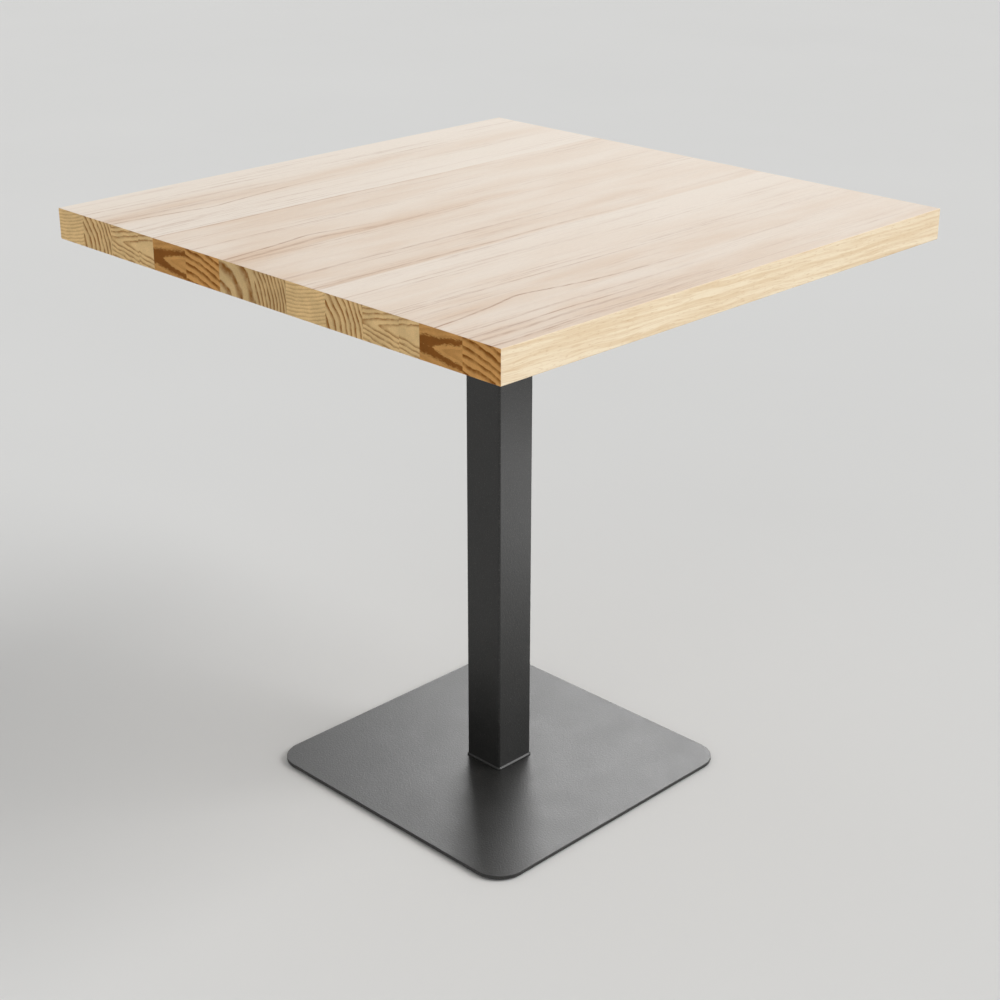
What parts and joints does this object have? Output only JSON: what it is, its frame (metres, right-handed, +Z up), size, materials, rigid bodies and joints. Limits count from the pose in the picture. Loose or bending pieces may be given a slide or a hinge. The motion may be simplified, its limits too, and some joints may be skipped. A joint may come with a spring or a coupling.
{
  "type": "bistro table",
  "caption": "Square pedestal bistro table: thick stave-built wooden top, square steel column and flat square base plate with rounded corners.",
  "frame": {"origin": "on the floor, under the middle of the table", "axes": "+Z up; the grain of the top runs along Y, and the staves lie side by side along X"},
  "size_m": [0.75, 0.75, 0.7655],
  "materials": {
    "light_wood": "clear satin lacquer over pale softwood or ash staves",
    "dark_wood": "clear satin lacquer over browner staves",
    "powder_coat": "dark grey, fine-textured semi-gloss powder coat",
    "bare_steel": "sawn and faced mild steel",
    "zinc": "bright zinc plate",
    "nylon": "black moulded nylon"
  },
  "bodies": {
    "table": {"top_stave_01": "light_wood", "top_stave_02": "light_wood", "top_stave_03": "light_wood", "top_stave_04": "light_wood", "top_stave_05": "dark_wood", "top_stave_06": "dark_wood", "top_stave_07": "light_wood", "top_stave_08": "light_wood", "top_stave_09": "light_wood", "top_stave_10": "light_wood", "top_stave_11": "light_wood", "top_stave_12": "light_wood", "top_stave_13": "dark_wood", "top_stave_14": "dark_wood", "base_plate": "powder_coat", "mounting_plate": "powder_coat", "column_tube": "powder_coat", "column_foot_plate": "powder_coat", "column_top_block": "bare_steel", "column_foot_block": "bare_steel", "column_top_screw_1": "zinc", "column_top_screw_2": "zinc", "column_top_screw_3": "zinc", "column_top_screw_4": "zinc", "base_screw_1": "zinc", "base_screw_2": "zinc", "base_screw_3": "zinc", "base_screw_4": "zinc", "tabletop_screw_1": "zinc", "tabletop_screw_2": "zinc", "tabletop_screw_3": "zinc", "tabletop_screw_4": "zinc", "tabletop_screw_5": "zinc", "tabletop_screw_6": "zinc", "tabletop_screw_7": "zinc", "tabletop_screw_8": "zinc", "tabletop_washer_1": "zinc", "tabletop_washer_2": "zinc", "tabletop_washer_3": "zinc", "tabletop_washer_4": "zinc", "tabletop_washer_5": "zinc", "tabletop_washer_6": "zinc", "tabletop_washer_7": "zinc", "tabletop_washer_8": "zinc"},
    "glide_1": {"glide_1_pad": "nylon", "glide_1_stud": "zinc"},
    "glide_2": {"glide_2_pad": "nylon", "glide_2_stud": "zinc"},
    "glide_3": {"glide_3_pad": "nylon", "glide_3_stud": "zinc"},
    "glide_4": {"glide_4_pad": "nylon", "glide_4_stud": "zinc"}
  },
  "joints": [
    {"name": "glide_1_height", "type": "slide", "parent": "table", "child": "glide_1", "axis": [0, 0, -1], "range_m": [0, 0.002]},
    {"name": "glide_2_height", "type": "slide", "parent": "table", "child": "glide_2", "axis": [0, 0, -1], "range_m": [0, 0.002]},
    {"name": "glide_3_height", "type": "slide", "parent": "table", "child": "glide_3", "axis": [0, 0, -1], "range_m": [0, 0.002]},
    {"name": "glide_4_height", "type": "slide", "parent": "table", "child": "glide_4", "axis": [0, 0, -1], "range_m": [0, 0.002]}
  ]
}
